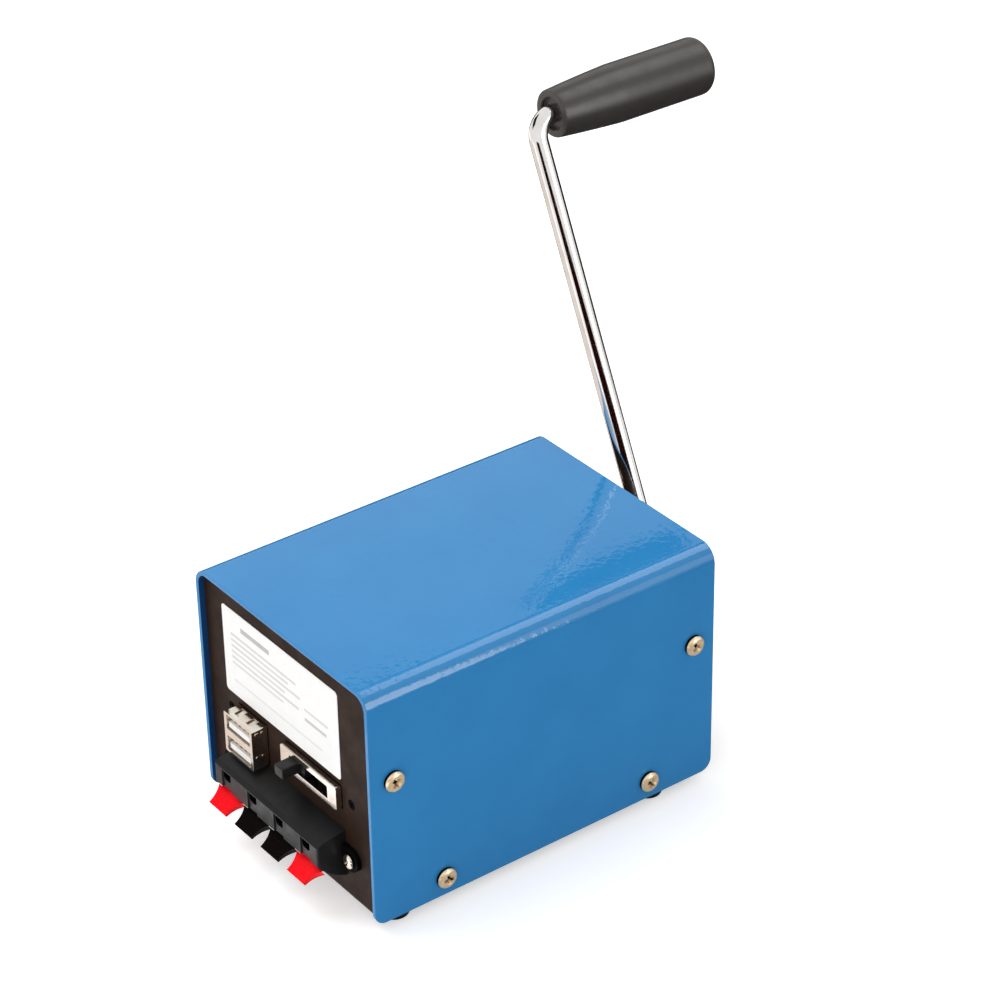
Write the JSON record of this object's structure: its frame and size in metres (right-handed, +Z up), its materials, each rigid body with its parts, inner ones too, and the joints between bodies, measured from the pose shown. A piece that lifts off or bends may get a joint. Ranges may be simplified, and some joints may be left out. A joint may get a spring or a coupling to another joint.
{
  "type": "hand crank generator",
  "caption": "Folded metal case with a bent crank and spinning handle at the back, driving a geared generator; front panel has stacked sockets, a slide switch and sprung lever terminals.",
  "frame": {"origin": "point on the table under the centre of the case, midway between its side walls and midway between the cover's front and back edges", "axes": "+Z up, -Y out of the terminal and socket panel, +Y out of the crank side, +X to the right when looking at the panel"},
  "size_m": [0.1165, 0.2177, 0.1891],
  "materials": {
    "blue_paint": "gloss blue stoved paint",
    "black_steel": "satin black paint",
    "rubber_black": "matt rubber",
    "label_white": "plain white film",
    "nickel": "bright nickel plate",
    "zinc": "zinc plated steel",
    "black_screw": "blackened steel",
    "black_plastic": "black moulding",
    "red_plastic": "red moulding",
    "white_plastic": "white moulding",
    "phenolic": "brown laminate",
    "board_green": "circuit board",
    "component_black": "moulded component",
    "can_aluminium": "component can",
    "ferrite_copper": "enamelled copper on a ferrite core",
    "gold": "gold plated contact",
    "chrome": "polished chrome",
    "grip_plastic": "satin black handle",
    "steel": "bare steel",
    "brass": "machined brass",
    "bronze": "sintered bronze",
    "magnet": "ferrite magnet",
    "copper": "copper",
    "wire_red": "red insulation",
    "wire_black": "black insulation"
  },
  "bodies": {
    "case": {"cover": "blue_paint", "chassis": "black_steel", "cover_screws": "nickel", "foot_front_left": "rubber_black", "foot_front_right": "rubber_black", "foot_back_left": "rubber_black", "foot_back_right": "rubber_black", "front_label": "label_white", "control_board": "board_green", "board_posts": "zinc", "panel_screws": "black_screw", "board_screws": "zinc", "usb_shell": "nickel", "usb_insulator": "white_plastic", "usb_contacts": "gold", "switch_frame": "nickel", "switch_base": "phenolic", "switch_contacts": "gold", "rectifier": "component_black", "regulator": "component_black", "capacitors": "can_aluminium", "inductor": "ferrite_copper", "terminal_body": "black_plastic", "terminal_pin": "steel", "terminal_contacts": "zinc", "terminal_screws": "nickel", "terminal_wires": "wire_black", "crank_bearing": "nickel", "bearing_screws": "nickel", "crank_bush": "bronze", "gearbox_rear_plate": "zinc", "gearbox_front_plate": "zinc", "gearbox_pillars": "zinc", "gearbox_screws": "nickel", "double_gear_pin": "steel", "generator_can": "zinc", "can_screws": "zinc", "magnets": "magnet", "end_cap": "black_plastic", "generator_tabs": "copper", "generator_wire_left": "wire_black", "generator_wire_right": "wire_red"},
    "crank": {"crank_rod": "chrome", "crank_gear": "steel", "crank_collar": "zinc", "grub_screws": "black_screw", "grip_washer": "zinc", "grip_screw": "zinc"},
    "handle": {"grip": "grip_plastic"},
    "double_gear": {"double_gear": "brass"},
    "rotor": {"armature_core": "steel", "armature_winding": "copper", "commutator": "copper", "generator_shaft": "steel", "motor_pinion": "brass"},
    "switch_knob": {"switch_knob": "black_plastic"},
    "lever_1": {"terminal_lever_1": "red_plastic"},
    "lever_2": {"terminal_lever_2": "black_plastic"},
    "lever_3": {"terminal_lever_3": "black_plastic"},
    "lever_4": {"terminal_lever_4": "red_plastic"}
  },
  "joints": [
    {"name": "crank_turn", "type": "hinge", "parent": "case", "child": "crank", "pos_m": [0, 0.06, 0.0458], "axis": [0, 1, 0], "continuous": true},
    {"name": "handle_spin", "type": "hinge", "parent": "crank", "child": "handle", "pos_m": [-0.06104, 0.11, 0.17975], "axis": [0, 1, 0], "continuous": true},
    {"name": "double_gear_turn", "type": "hinge", "parent": "case", "child": "double_gear", "pos_m": [0.02264, 0.05, 0.02612], "axis": [0, 1, 0], "continuous": true},
    {"name": "rotor_turn", "type": "hinge", "parent": "case", "child": "rotor", "pos_m": [0.00288, 0.02, 0.02334], "axis": [0, 1, 0], "continuous": true},
    {"name": "switch_slide", "type": "slide", "parent": "case", "child": "switch_knob", "axis": [1, 0, 0], "range_m": [0, 0.0145]},
    {"name": "lever_1_press", "type": "hinge", "parent": "case", "child": "lever_1", "pos_m": [-0.02085, -0.0662, 0.018], "axis": [1, 0, 0], "range_deg": [0, 20], "stiffness_Nm_per_rad": 0.06, "springref_deg": -6.88},
    {"name": "lever_2_press", "type": "hinge", "parent": "case", "child": "lever_2", "pos_m": [-0.00695, -0.0662, 0.018], "axis": [1, 0, 0], "range_deg": [0, 20], "stiffness_Nm_per_rad": 0.06, "springref_deg": -6.88},
    {"name": "lever_3_press", "type": "hinge", "parent": "case", "child": "lever_3", "pos_m": [0.00695, -0.0662, 0.018], "axis": [1, 0, 0], "range_deg": [0, 20], "stiffness_Nm_per_rad": 0.06, "springref_deg": -6.88},
    {"name": "lever_4_press", "type": "hinge", "parent": "case", "child": "lever_4", "pos_m": [0.02085, -0.0662, 0.018], "axis": [1, 0, 0], "range_deg": [0, 20], "stiffness_Nm_per_rad": 0.06, "springref_deg": -6.88}
  ],
  "couplings": [
    {"joint": "double_gear_turn", "follows": "crank_turn", "ratio": -4},
    {"joint": "rotor_turn", "follows": "crank_turn", "ratio": 15}
  ]
}
